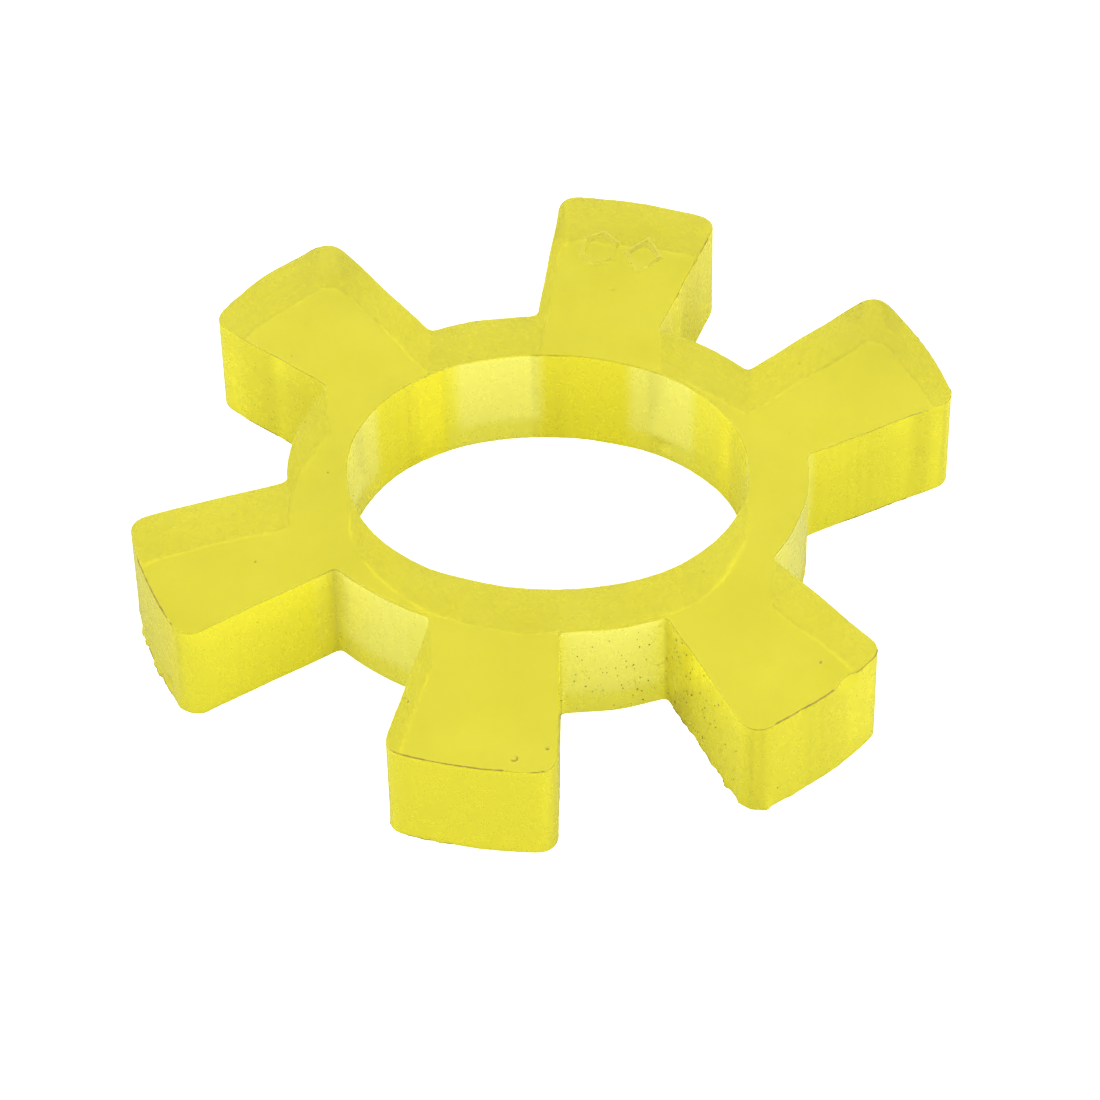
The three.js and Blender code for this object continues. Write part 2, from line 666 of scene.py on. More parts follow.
@dataclass(frozen=True)
class Polyurethane:
    """Hazy yellow cast polyurethane.

    Attributes:
        name: The material's name.
        clear: Colour of its skin where it is clearest.
        milky: Colour of its skin where it is cloudiest.
        cut: Colour of its walls: a paler tint than the two faces', painted light that makes the walls
            brighter than the faces.
        hollow_brown: Dark brown painted into the crescent cuts and burst bubbles of the top face.
        smooth: Roughness where it is smoothest.
        scuffed: Roughness where it is most scuffed.
        matt: How much rougher its walls are.
        haze: Share of the top face's look that is scattered light from just under the skin.
        wall_haze: How much larger that share is on the walls.
        misty: Colour of that scattered light where it is palest.
        deep: Colour of that scattered light where it is strongest.
        wall_painted_light: Colour of that scattered light in the walls, paler than on the faces: painted
            light for the light that reaches them from two sides.
        thin_ring_painted_light: Colour of that scattered light in the walls of the thin ring, paler still:
            painted light passing through the thin ring.
        index: Refractive index.
        depth: What the inside absorbs: a colour that passes well.
        density: How strongly it absorbs the other colours, per metre.
        relief: Height of the fine marks, in metres.
    """

    name: str = "polyurethane_yellow"
    clear: Colour = (0.78, 0.77, 0.60)
    milky: Colour = (0.73, 0.72, 0.52)
    # Painted light: a paler wall tint that makes the walls brighter than the faces.
    cut: Colour = (0.93, 0.92, 0.62)
    hollow_brown: Colour = (0.20, 0.13, 0.03)
    smooth: float = 0.14
    scuffed: float = 0.24
    matt: float = 0.1
    haze: float = 0.3
    wall_haze: float = 0.45
    misty: Colour = (0.66, 0.625, 0.058)
    deep: Colour = (0.41, 0.375, 0.0)
    # Painted light: the walls' haze is paler than the top face's.
    wall_painted_light: Colour = (0.80, 0.75, 0.045)
    # Painted light: the thin ring's walls are painted paler still, for light passing through them.
    thin_ring_painted_light: Colour = (0.86, 0.84, 0.19)
    index: float = 1.49
    depth: Colour = (0.993, 0.978, 0.0)
    density: float = 400.0
    relief: float = 0.0015 * MM

    def material(self) -> bpy.types.Material:
        """Builds the material."""
        material, tree, output = blank_material(self.name)
        place = node(tree, "ShaderNodeTexCoord")
        upright = node(tree, "ShaderNodeAttribute", attribute_name="upright")
        darkened_hollows = node(tree, "ShaderNodeAttribute", attribute_name="darkened_hollows")
        skin = node(tree, "ShaderNodeGroup", node_tree=cast_skin())
        tree.links.new(place.outputs["Object"], skin.inputs["Place"])
        tree.links.new(upright.outputs["Fac"], skin.inputs["Upright"])
        skin.inputs["Smooth"].default_value = self.smooth
        skin.inputs["Scuffed"].default_value = self.scuffed
        skin.inputs["Matt"].default_value = self.matt
        poured = mixed(tree, skin.outputs["Cloud"], self.clear, self.milky)
        # Painted light: the walls take a paler tint than the top and bottom faces, so they look brighter.
        walls_painted_paler = mixed(tree, upright.outputs["Fac"], poured, self.cut)
        # Crescent cuts and burst bubbles are painted dark brown.
        base_with_dark_hollows = mixed(tree, darkened_hollows.outputs["Fac"], walls_painted_paler, self.hollow_brown)
        bump = node(tree, "ShaderNodeBump", {"Height": skin.outputs["Height"], "Strength": 1.0,
                                            "Distance": self.relief})
        surface = node(tree, "ShaderNodeBsdfPrincipled",
                       {"Base Color": base_with_dark_hollows, "Roughness": skin.outputs["Roughness"],
                        "Normal": bump.outputs[0], "IOR": self.index,
                        "Transmission Weight": 1.0})
        fog = mixed(tree, skin.outputs["Cloud"], self.misty, self.deep)
        thin = node(tree, "ShaderNodeAttribute", attribute_name="thin")
        # Painted light: the walls of the thin ring get a paler haze colour, for light passing through them.
        wall = mixed(tree, thin.outputs["Fac"], self.wall_painted_light, self.thin_ring_painted_light)
        # Painted light: the walls get a paler haze colour than the top face.
        lit = mixed(tree, upright.outputs["Fac"], fog, wall)
        # The crescent cuts and burst bubbles are painted dark brown in the hazy part of the look too.
        held = mixed(tree, darkened_hollows.outputs["Fac"], lit, self.hollow_brown)
        scattered = node(tree, "ShaderNodeBsdfPrincipled",
                         {"Base Color": held, "Roughness": skin.outputs["Roughness"],
                          "Normal": bump.outputs[0], "IOR": self.index, "Specular IOR Level": 0.2})
        ray = node(tree, "ShaderNodeLightPath")
        foggy = node(tree, "ShaderNodeMath", {0: upright.outputs["Fac"], 1: self.wall_haze, 2: self.haze},
                     operation="MULTIPLY_ADD")
        share = node(tree, "ShaderNodeMath", {0: ray.outputs["Is Camera Ray"], 1: foggy.outputs[0]},
                     operation="MULTIPLY")
        body = node(tree, "ShaderNodeMixShader", {0: share.outputs[0], 1: surface.outputs[0],
                                                 2: scattered.outputs[0]})
        inner = node(tree, "ShaderNodeVolumeAbsorption",
                     {"Color": (*self.depth, 1.0), "Density": self.density})
        tree.links.new(body.outputs[0], output.inputs["Surface"])
        tree.links.new(inner.outputs[0], output.inputs["Volume"])
        return material


@dataclass(frozen=True)
class Grime:
    """Dull brown dirt and dried-out flash.

    Attributes:
        name: The material's name.
        dark: Its darkest colour.
        pale: Its palest colour.
        roughness: Its roughness.
    """

    name: str
    dark: Colour
    pale: Colour
    roughness: float = 0.7

    def material(self) -> bpy.types.Material:
        """Builds the material."""
        material, tree, output = blank_material(self.name)
        place = node(tree, "ShaderNodeTexCoord")
        grain = node(tree, "ShaderNodeTexNoise",
                     {"Vector": place.outputs["Object"], "Scale": DIRT_WAVES, "Detail": 3.0})
        shade = mixed(tree, grain.outputs["Fac"], self.dark, self.pale)
        surface = node(tree, "ShaderNodeBsdfPrincipled",
                       {"Base Color": shade, "Roughness": self.roughness})
        tree.links.new(surface.outputs[0], output.inputs["Surface"])
        return material


@dataclass(frozen=True)
class WhiteBoard:
    """The matt white board under the casting, lit softly from below.

    Attributes:
        name: The material's name.
        white: Its main colour.
        shade: Its colour in the faint clouds of its coating.
        roughness: Its roughness.
        backlight: Brightness of the light that comes through it where it is seen directly.
        underlight: Brightness of that light under and around the casting.
        painted_dark_reflection: Its grey colour as the casting's walls mirror it: a painted darker
            reflection, in which the board also does not glow.
    """

    name: str = "white_board"
    white: Colour = (0.80, 0.80, 0.80)
    shade: Colour = (0.77, 0.77, 0.77)
    roughness: float = 0.8
    backlight: float = 1.2
    underlight: float = 0.5
    # Painted reflection: the board looks dark grey where the casting mirrors it.
    painted_dark_reflection: Colour = (0.35, 0.35, 0.35)

    def material(self) -> bpy.types.Material:
        """Builds the material."""
        material, tree, output = blank_material(self.name)
        place = node(tree, "ShaderNodeTexCoord")
        cloud = node(tree, "ShaderNodeTexNoise", {"Vector": place.outputs["Object"], "Scale": COAT_WAVES})
        coat = mixed(tree, cloud.outputs["Fac"], self.white, self.shade)
        ray = node(tree, "ShaderNodeLightPath")
        # Painted reflection: reflection rays see the board dark grey.
        seen = mixed(tree, ray.outputs["Is Reflection Ray"], coat, self.painted_dark_reflection)
        glow = node(tree, "ShaderNodeMapRange", {"Value": ray.outputs["Is Camera Ray"],
                                                "To Min": self.underlight, "To Max": self.backlight})
        # Painted reflection: reflection rays see no glow from the board.
        glow_off_in_reflections = node(tree, "ShaderNodeMath", {0: ray.outputs["Is Reflection Ray"], 1: -self.underlight,
                                              2: glow.outputs[0]}, operation="MULTIPLY_ADD")
        surface = node(tree, "ShaderNodeBsdfPrincipled",
                       {"Base Color": seen, "Roughness": self.roughness,
                        "Specular IOR Level": 0.2, "Emission Color": (1.0, 1.0, 1.0, 1.0),
                        "Emission Strength": glow_off_in_reflections.outputs[0]})
        tree.links.new(surface.outputs[0], output.inputs["Surface"])
        return material


# The casting ----------------------------------------------------------------------------------


@dataclass
class Casting:
    """The star: a ring with six legs and a raised mark, poured in one piece.

    Attributes:
        star: Its outline, from the CAD model.
        finish: What it is made of.
        outline_step: Distance between points along the walls, in metres.
        softening: How many times the outline's corners are softened.
        wall_rows: Rows of points up the walls.
        edge_rows: Rows of points round each edge.
        top_edge: Radius of the edges of the top face, in metres.
        foot_edge: Radius of the edges of the underside, in metres.
        shoulders: How far inside the wall the outermost rows of the two faces lie, in metres.
        face_step: Distance between points inside the two faces, in metres.
        swell: Slow unevenness of the top face.
        dimple: Quick unevenness of the top face.
        bulge: Slow unevenness of the walls.
        knife: Upright marks on the walls.
        rag: Torn flash round the foot of some walls.
        rag_height: How far up the wall the torn flash reaches, in metres.
        rag_limit: The furthest it may stick out, in metres.
        tears: Where the flash is torn: leg 5's tip, leg 3's clockwise flank and leg 4's tip.
        wear: Share of the mark's height that is left.
        lean: How much higher the top face lies at the marked leg's tip, and lower opposite, in metres.
        flaws: Small flaws in the top face.
        nicks: Small pieces broken out of the walls.
        dust_patches: Where dirt lies thick: the wall between legs 3 and 4, and leg 3's flank.
        dust_all_over: How much dirt there is everywhere, and how much more round the hole.
        clean_top: How far below the top face a wall's dirt ends, in metres.
        clean_foot: Height above the underside under which there is no dirt, in metres.
        thin_angles: Angles off a leg's middle line where the ring's wall begins and ends to be thin.
        thin_reach: How far out the ring's thin walls end, and over what distance, in metres.
        thin_height: Height above the underside where they begin to look paler, and over what height.
    """

    star: Star
    finish: Polyurethane
    outline_step: float = 0.22 * MM
    softening: int = 3
    wall_rows: int = 22
    edge_rows: int = 3
    top_edge: float = 0.12 * MM
    foot_edge: float = 0.1 * MM
    shoulders: tuple[float, ...] = (0.3 * MM, 0.5 * MM)
    face_step: float = 0.5 * MM
    swell: Unevenness = Unevenness(seed=3, shortest=5 * MM, longest=14 * MM, height=0.03 * MM)
    dimple: Unevenness = Unevenness(seed=5, shortest=1.6 * MM, longest=4 * MM, height=0.006 * MM)
    bulge: Unevenness = Unevenness(seed=7, shortest=4 * MM, longest=12 * MM, height=0.02 * MM)
    knife: Unevenness = Unevenness(seed=11, shortest=0.7 * MM, longest=1.8 * MM, height=0.005 * MM)
    rag: Unevenness = Unevenness(seed=13, shortest=0.9 * MM, longest=4.0 * MM, height=0.13 * MM)
    rag_height: float = 0.9 * MM
    rag_limit: float = 0.4 * MM
    tears: tuple[Patch, ...] = (
        Patch(5, 28 * MM, 0.0, 9 * MM),
        Patch(3, 24 * MM, -6 * MM, 9 * MM),
        Patch(4, 28 * MM, -3 * MM, 6 * MM, 0.5),
    )
    wear: float = 0.6
    lean: float = 0.14 * MM
    flaws: tuple[Flaw, ...] = (
        Flaw(4, 26.3 * MM, 3.0 * MM, Scar.CRESCENT, 0.32 * MM, -0.12 * MM, turn=2.6),
        Flaw(4, 25.2 * MM, 5.0 * MM, Scar.PIT, 0.22 * MM, -0.10 * MM),
        Flaw(4, 22.5 * MM, -4.6 * MM, Scar.PIT, 0.20 * MM, -0.10 * MM),
        Flaw(1, 18.3 * MM, -0.2 * MM, Scar.PIMPLE, 0.30 * MM, 0.09 * MM),
        Flaw(3, 25.6 * MM, 1.2 * MM, Scar.PIT, 0.18 * MM, -0.08 * MM),
        Flaw(5, 21.0 * MM, 1.5 * MM, Scar.PIT, 0.13 * MM, -0.06 * MM),
        Flaw(6, 22.0 * MM, 1.0 * MM, Scar.PIMPLE, 0.22 * MM, 0.04 * MM),
        Flaw(4, 15.6 * MM, 1.2 * MM, Scar.SEAM, 3.0 * MM, -0.02 * MM),
    )
    nicks: tuple[Nick, ...] = (
        Nick(1, 10.7 * MM, -5.7 * MM, 1.2 * MM, 0.6 * MM, 0.35 * MM, 0.3 * MM),
        Nick(3, 28.0 * MM, 1.6 * MM, 8.0 * MM, 0.8 * MM, 0.5 * MM, 0.3 * MM),
        Nick(3, 27.8 * MM, -2.4 * MM, 7.9 * MM, 0.3 * MM, 0.4 * MM, 0.2 * MM),
        Nick(5, 28.0 * MM, 3.4 * MM, 1.0 * MM, 0.4 * MM, 0.6 * MM, 0.25 * MM),
    )
    dust_patches: tuple[Patch, ...] = (
        Patch(3, 17 * MM, -7 * MM, 7 * MM, 0.9),
        Patch(3, 22 * MM, -5.5 * MM, 6 * MM, 0.5),
    )
    dust_all_over: tuple[float, float] = (0.006, 0.015)
    clean_top: float = 0.3 * MM
    clean_foot: float = 0.05 * MM
    thin_angles: tuple[float, float] = (math.radians(14.0), math.radians(18.0))
    thin_reach: tuple[float, float] = (18.6 * MM, 0.3 * MM)
    thin_height: tuple[float, float] = (1.6 * MM, 0.6 * MM)

    def profile(self, foot: float, face: float) -> list[tuple[float, float]]:
        """Gives the rows of points up a wall.

        Args:
            foot: Height of the underside, in metres.
            face: Height of the top face, in metres.

        Returns:
            How far each row lies inside the wall, and its height.
        """
        turns = [math.pi / 2 * k / self.edge_rows for k in range(self.edge_rows + 1)]
        low = [(self.foot_edge * (1 - math.sin(a)), foot + self.foot_edge * (1 - math.cos(a)))
               for a in turns]
        high = [(self.top_edge * (1 - math.cos(a)), face - self.top_edge * (1 - math.sin(a)))
                for a in turns]
        low = [(inset, foot) for inset in self.shoulders[::-1]] + low
        high += [(inset, face) for inset in self.shoulders]
        between = np.linspace(low[-1][1], high[0][1], self.wall_rows + 2)[1:-1]
        return low + [(0.0, float(height)) for height in between] + high

    def torn(self, points: np.ndarray) -> np.ndarray:
        """Says how torn the flash is at each point, from 0 to 1."""
        return np.clip(sum(patch.over(points) for patch in self.tears), 0.0, 1.0)

    def walls(self, loops: list[Loop], rows: list[tuple[float, float]]) -> tuple[np.ndarray, list]:
        """Makes the walls.

        Args:
            loops: The fine outline.
            rows: What profile gave.

        Returns:
            The points, loop after loop and row after row, and the faces.
        """
        points = []
        faces = []
        first = 0
        foot = rows[0][1]
        for loop in loops:
            count = len(loop.points)
            marks = self.bulge.along(loop) + self.knife.along(loop)
            torn = np.clip(self.rag.along(loop), 0.0, self.rag_limit) * self.torn(loop.points)
            for inset, height in rows:
                push = marks + torn * math.exp(-((height - foot) / self.rag_height) ** 2) - inset
                push -= sum(nick.push(loop.points, height) for nick in self.nicks)
                level = loop.points + loop.normals * push[:, None]
                points.append(np.column_stack([level, np.full(count, height)]))
            for row in range(len(rows) - 1):
                low = first + row * count
                for k in range(count):
                    after = (k + 1) % count
                    faces.append((low + k, low + after, low + count + after, low + count + k))
            first += count * len(rows)
        return np.vstack(points), faces

    def patches(self, marks: list[Loop]) -> list[FinePatch]:
        """Gives the parts of the top face that need closer points."""
        fine = 0.1 * MM
        signs = [FinePatch(loop.points.mean(axis=0), 2.3 * MM, fine) for loop in marks[:2]]
        return signs + [FinePatch(flaw.middle(), 1.6 * flaw.size, flaw.size / 5) for flaw in self.flaws]

    def relief(self, points: np.ndarray, marks: list[Loop], rise: float) -> tuple[np.ndarray, np.ndarray]:
        """Shapes the top face.

        Args:
            points: Its points seen from above.
            marks: Outlines of the raised mark.
            rise: Height of the mark, in metres.

        Returns:
            How far each point moves up, and how much of the dark brown of crescent cuts and burst bubbles it
            is painted with.
        """
        half_line = 0.22 * MM
        fine_step = 0.04 * MM
        mark_reach = 5 * MM
        close = [loop.resampled(fine_step, 0) for loop in marks]
        middle = np.mean([loop.points.mean(axis=0) for loop in marks], axis=0)
        lift = np.zeros(len(points))
        darkened_hollows = np.zeros(len(points))
        near = np.linalg.norm(points - middle, axis=1) < mark_reach
        raised = inside(points[near], close)
        gap = np.clip(clearance(points[near], close) / half_line, 0.0, 1.0)
        lift[near] = rise * np.where(raised, np.sqrt(1.0 - (1.0 - gap) ** 2), 0.0)
        for flaw in self.flaws:
            cover = flaw.cover(points)
            lift += flaw.height * cover
            # Crescent cuts and burst bubbles are painted dark brown; the seam and the raised bubbles are not.
            darkened_hollows = np.maximum(darkened_hollows, cover * (flaw.scar in (Scar.CRESCENT, Scar.PIT)))
        return lift, darkened_hollows

    def build(self) -> bpy.types.Object:
        """Builds and dresses the casting.

        Returns:
            The finished piece.
        """
        foot, face, mark = self.star.heights()
        loops = [loop.resampled(self.outline_step, self.softening) for loop in self.star.loops(foot)]
        marks = self.star.loops(mark)
        rows = self.profile(foot, face)
        points, faces = self.walls(loops, rows)
        starts = np.cumsum([0] + [len(loop.points) * len(rows) for loop in loops])
        wall_count = len(points)
        darkened_hollows = [np.zeros(wall_count)]
        for row, looks_up in ((0, False), (len(rows) - 1, True)):
            rims = []
            numbers = []
            for loop, start in zip(loops, starts):
                count = len(loop.points)
                ring = np.arange(start + row * count, start + (row + 1) * count)
                numbers.append(ring)
                rims.append(Loop(points[ring][:, :2]))
            patches = self.patches(marks) if looks_up else []
            inner, triangles = flat_face(rims, self.face_step, patches)
            numbers.append(np.arange(len(points), len(points) + len(inner)))
            # dirt is the share of dark brown painted into crescent cuts and burst bubbles.
            lift, dirt = np.zeros(len(inner)), np.zeros(len(inner))
            if looks_up:
                lift, dirt = self.relief(inner, marks, self.wear * (mark - face))
            points = np.vstack([points, np.column_stack([inner, rows[row][1] + lift])])
            darkened_hollows.append(dirt)
            own = np.concatenate(numbers)[triangles]
            faces += [tuple(corners) for corners in (own if looks_up else own[:, ::-1]).tolist()]
        share = np.clip((points[:, 2] - foot) / (face - foot), 0.0, 1.0) ** 2
        slope = self.lean * points[:, 1] / CAD_BOX[1][1]
        points[:, 2] += share * (self.swell.over(points) + self.dimple.over(points) + slope)
        piece = mesh_object("polyurethane_star", points, faces, self.finish.material())
        steep = [float(inset == 0.0) for inset, _ in rows]
        upright = np.zeros(len(points))
        upright[:wall_count] = np.concatenate([np.repeat(steep, len(loop.points)) for loop in loops])
        # thin says where the ring's walls are painted paler, as painted light passing through the thin ring.
        shares = {"upright": upright, "thin": self.thin(points, foot), "darkened_hollows": np.concatenate(darkened_hollows),
                  "dust": self.dusty(points, foot, face)}
        for name, share in shares.items():
            kept = piece.data.attributes.new(name, "FLOAT", "POINT")
            kept.data.foreach_set("value", share.astype(np.float32))
        return piece

    def thin(self, points: np.ndarray, foot: float) -> np.ndarray:
        """Says where a wall has little material behind it: on the ring between two legs, whose walls the
        material paints paler as painted light passing through.

        Args:
            points: The casting's points, one row each.
            foot: Height of the underside, in metres.

        Returns:
            One value from 0 to 1 for each point.
        """
        heading = np.arctan2(points[:, 1], points[:, 0])
        off = np.full(len(points), math.pi)
        for number in range(1, LEGS + 1):
            middle = Spot(number, RING_MIDDLE, 0.0).middle()
            turned = np.abs(heading - math.atan2(middle[1], middle[0]))
            off = np.minimum(off, np.minimum(turned, 2 * math.pi - turned))
        low, high = self.thin_angles
        between = np.clip((off - low) / (high - low), 0.0, 1.0)
        reach = np.linalg.norm(points[:, :2], axis=1)
        end, fade = self.thin_reach
        near = np.clip((end - reach) / fade, 0.0, 1.0)
        begin, rise = self.thin_height
        above = np.clip((points[:, 2] - foot - begin) / rise, 0.0, 1.0)
        at_foot = 0.25
        return between * near * (at_foot + (1.0 - at_foot) * above)

    def dusty(self, points: np.ndarray, foot: float, face: float) -> np.ndarray:
        """Says how thick the dirt lies: thicker in its patches, and low on the walls.

        Args:
            points: The casting's points, one row each.
            foot: Height of the underside, in metres.
            face: Height of the top face, in metres.

        Returns:
            One value from 0 to 1 for each point.
        """
        thick = np.clip(sum(patch.over(points) for patch in self.dust_patches), 0.0, 1.0)
        everywhere, at_hole = self.dust_all_over
        thin = everywhere + at_hole * nearness(points, np.zeros(2), RING_MIDDLE)
        above = points[:, 2] - foot
        on_wall = (points[:, 2] > foot + self.foot_edge) & (points[:, 2] < face - self.clean_top)
        low = np.clip(1.2 - above / (face - foot), 0.0, 1.0)
        dust = np.where(on_wall, thick * (0.4 + 0.6 * low) + thin, everywhere)
        return np.where(points[:, 2] < foot + self.clean_foot, 0.0, dust)


# Flash and dirt -------------------------------------------------------------------------------


def blank_tree(name: str, sockets: dict[str, str]) -> tuple[Nodes, bpy.types.Node]:
    """Makes an empty Geometry Nodes tree.

    Args:
        name: The tree's name.
        sockets: The type of each named input.

    Returns:
        The tree and its input node.
    """
    tree = bpy.data.node_groups.new(name, "GeometryNodeTree")
    tree.interface.new_socket("Geometry", in_out="INPUT", socket_type="NodeSocketGeometry")
    for label, kind in sockets.items():
        tree.interface.new_socket(label, in_out="INPUT", socket_type=kind)
    tree.interface.new_socket("Geometry", in_out="OUTPUT", socket_type="NodeSocketGeometry")
    return tree, node(tree, "NodeGroupInput")


def close_tree(tree: Nodes, made: bpy.types.NodeSocket, given: bpy.types.Node) -> None:
    """Ends a tree: real geometry, its material and the output.

    Args:
        tree: The tree.
        made: The geometry so far.
        given: The tree's input node, with an input named Material.
    """
    real = node(tree, "GeometryNodeRealizeInstances", {"Geometry": made})
    dressed = node(tree, "GeometryNodeSetMaterial",
                   {"Geometry": real.outputs[0], "Material": given.outputs["Material"]})
    node(tree, "NodeGroupOutput", {"Geometry": dressed.outputs[0]})


def grown(name: str, base: bpy.types.Mesh, tree: Nodes, values: dict[str, object]) -> bpy.types.Object:
    """Runs a Geometry Nodes tree on a mesh and keeps the result as a plain mesh.

    Args:
        name: Name of the finished object.
        base: The mesh that the tree starts from.
        tree: The tree.
        values: A value for each of its named inputs.

    Returns:
        The finished object, with no modifier left.
    """
    thing = bpy.data.objects.new(name, base)
    bpy.context.scene.collection.objects.link(thing)
    modifier = thing.modifiers.new(name, "NODES")
    modifier.node_group = tree
    for item in tree.interface.items_tree:
        if item.in_out == "INPUT" and item.name in values:
            modifier[item.identifier] = values[item.name]
    seen = bpy.context.evaluated_depsgraph_get()
    mesh = bpy.data.meshes.new_from_object(thing.evaluated_get(seen))
    thing.modifiers.clear()
    thing.data = mesh
    mesh.name = name
    mesh.shade_smooth()
    return thing


class Edge(Enum):
    """Which edge of a wall a thread of flash lies on."""

    TOP = "edge of the top face"
    FOOT = "edge of the underside"


@dataclass(frozen=True)
class Stretch(Spot):
    """A stretch of an edge with threads of flash, on both sides of its place.

    Attributes:
        span: How far it goes to each side along the wall, in metres.
        edge: The edge it lies on.
    """

    span: float
    edge: Edge = Edge.TOP


@dataclass
class Flash:
    """Thin dried threads of flash along some edges, broken here and there.

    Attributes:
        star: The casting's outline.
        casting: The finished casting, on whose skin the threads lie.
        finish: What the threads are made of.
        radius: Radius of a thread, in metres.
        gap: Noise value under which there is no thread.
        grain: How many waves per metre the noise of the gaps has.
        lumps: How many waves per metre the noise of the thickness has.
        spread: Thinnest and thickest radius, as shares of a thread's own.
        sides: Number of sides of a thread.
        step: Distance between points along an edge, in metres.
        softening: How many times the outline's corners are softened.
        skin_search: Greatest difference in height between an edge and its point on the skin, in metres.
        top_drop: How far below the top face its threads lie, in metres.
        foot_rise: How far above the underside its threads lie, in metres.
        stretches: Where there are threads.
    """

    star: Star
    casting: bpy.types.Object
    finish: Grime
    radius: float = 0.035 * MM
    gap: float = 0.47
    grain: float = 420.0
    lumps: float = 2400.0
    spread: tuple[float, float] = (0.3, 1.6)
    sides: int = 6
    step: float = 0.2 * MM
    softening: int = 3
    skin_search: float = 0.4 * MM
    top_drop: float = 0.05 * MM
    foot_rise: float = 0.15 * MM
    stretches: tuple[Stretch, ...] = (
        Stretch(1, 27.9 * MM, 0.0, 4.6 * MM),
        Stretch(1, 23 * MM, -5 * MM, 4.5 * MM),
        Stretch(2, 27.9 * MM, 0.0, 4.8 * MM),
        Stretch(3, 27.9 * MM, 0.0, 5.0 * MM),
        Stretch(4, 27.9 * MM, 0.0, 5.2 * MM),
        Stretch(5, 27.9 * MM, 0.0, 5.0 * MM),
        Stretch(6, 27.9 * MM, 0.0, 4.6 * MM),
        Stretch(3, 21 * MM, -5 * MM, 4.0 * MM, Edge.FOOT),
        Stretch(5, 27.9 * MM, 1.5 * MM, 4.0 * MM, Edge.FOOT),
        Stretch(4, 27.9 * MM, -3 * MM, 3.0 * MM, Edge.FOOT),
        Stretch(2, 20 * MM, -5 * MM, 5.0 * MM, Edge.FOOT),
        Stretch(6, 21 * MM, 5 * MM, 3.0 * MM, Edge.FOOT),
    )

    def follow(self, stretch: Stretch, loops: list[Loop], height: float) -> np.ndarray:
        """Follows the casting's wall along one stretch.

        Args:
            stretch: The stretch.
            loops: The outline.
            height: Height of the edge, in metres.

        Returns:
            Its points, one row each.
        """
        place = stretch.middle()
        loop = min(loops, key=lambda one: np.linalg.norm(one.points - place, axis=1).min())
        nearest = int(np.linalg.norm(loop.points - place, axis=1).argmin())
        count = round(stretch.span / self.step)
        picked = np.arange(nearest - count, nearest + count + 1) % len(loop.points)
        return np.column_stack([loop.points[picked], np.full(len(picked), height)])

    def on_skin(self, run: np.ndarray, skin: np.ndarray) -> np.ndarray:
        """Moves points to the nearest points of the casting's skin and drops repeats.

        Args:
            run: Points along an edge, one row each, all at one height.
            skin: The casting's points, one row each.

        Returns:
            The points on the skin.
        """
        near = skin[np.abs(skin[:, 2] - run[0, 2]) < self.skin_search]
        picked = [int(((near - place) ** 2).sum(axis=1).argmin()) for place in run]
        return near[[at for k, at in enumerate(picked) if k == 0 or at != picked[k - 1]]]

    def tree(self) -> Nodes:
        """Builds the tree: edges, less those in a gap, turned into threads of uneven thickness."""
        tree, given = blank_tree("flash_threads", {"Radius": "NodeSocketFloat", "Gap": "NodeSocketFloat",
                                                   "Grain": "NodeSocketFloat",
                                                   "Material": "NodeSocketMaterial"})
        place = node(tree, "GeometryNodeInputPosition")
        noise = node(tree, "ShaderNodeTexNoise", {"Vector": place.outputs[0], "Scale": given.outputs["Grain"],
                                                 "Detail": 2.0})
        missing = node(tree, "FunctionNodeCompare", {0: noise.outputs["Fac"], 1: given.outputs["Gap"]},
                       data_type="FLOAT", operation="LESS_THAN")
        kept = node(tree, "GeometryNodeDeleteGeometry",
                    {"Geometry": given.outputs["Geometry"], "Selection": missing.outputs[0]}, domain="EDGE")
        line = node(tree, "GeometryNodeMeshToCurve", {"Mesh": kept.outputs[0]})
        fine = node(tree, "ShaderNodeTexNoise", {"Vector": place.outputs[0], "Scale": self.lumps})
        least, most = self.spread
        spread = node(tree, "ShaderNodeMapRange", {"Value": fine.outputs["Fac"], "From Min": 0.3,
                                                  "From Max": 0.7, "To Min": least, "To Max": most})
        size = node(tree, "ShaderNodeMath", {0: spread.outputs[0], 1: given.outputs["Radius"]},
                    operation="MULTIPLY")
        rim = node(tree, "GeometryNodeCurvePrimitiveCircle", {"Resolution": self.sides, "Radius": 1.0})
        tube = node(tree, "GeometryNodeCurveToMesh", {"Curve": line.outputs[0],
                                                     "Profile Curve": rim.outputs[0],
                                                     "Scale": size.outputs[0], "Fill Caps": True})
        close_tree(tree, tube.outputs[0], given)
        return tree

    def build(self) -> bpy.types.Object:
        """Builds the threads.

        Returns:
            The finished piece.
        """
        foot, face, _ = self.star.heights()
        heights = {Edge.TOP: face - self.top_drop, Edge.FOOT: foot + self.foot_rise}
        loops = [loop.resampled(self.step, self.softening) for loop in self.star.loops(foot)]
        skin = np.array([vertex.co for vertex in self.casting.data.vertices])
        points = []
        edges = []
        first = 0
        for stretch in self.stretches:
            run = self.on_skin(self.follow(stretch, loops, heights[stretch.edge]), skin)
            points.append(run)
            edges += [(first + k, first + k + 1) for k in range(len(run) - 1)]
            first += len(run)
        base = bpy.data.meshes.new("flash_lines")
        base.from_pydata([tuple(row) for row in np.vstack(points).tolist()], edges, [])
        return grown("flash_threads", base, self.tree(),
                     {"Radius": self.radius, "Gap": self.gap, "Grain": self.grain,
                      "Material": self.finish.material()})


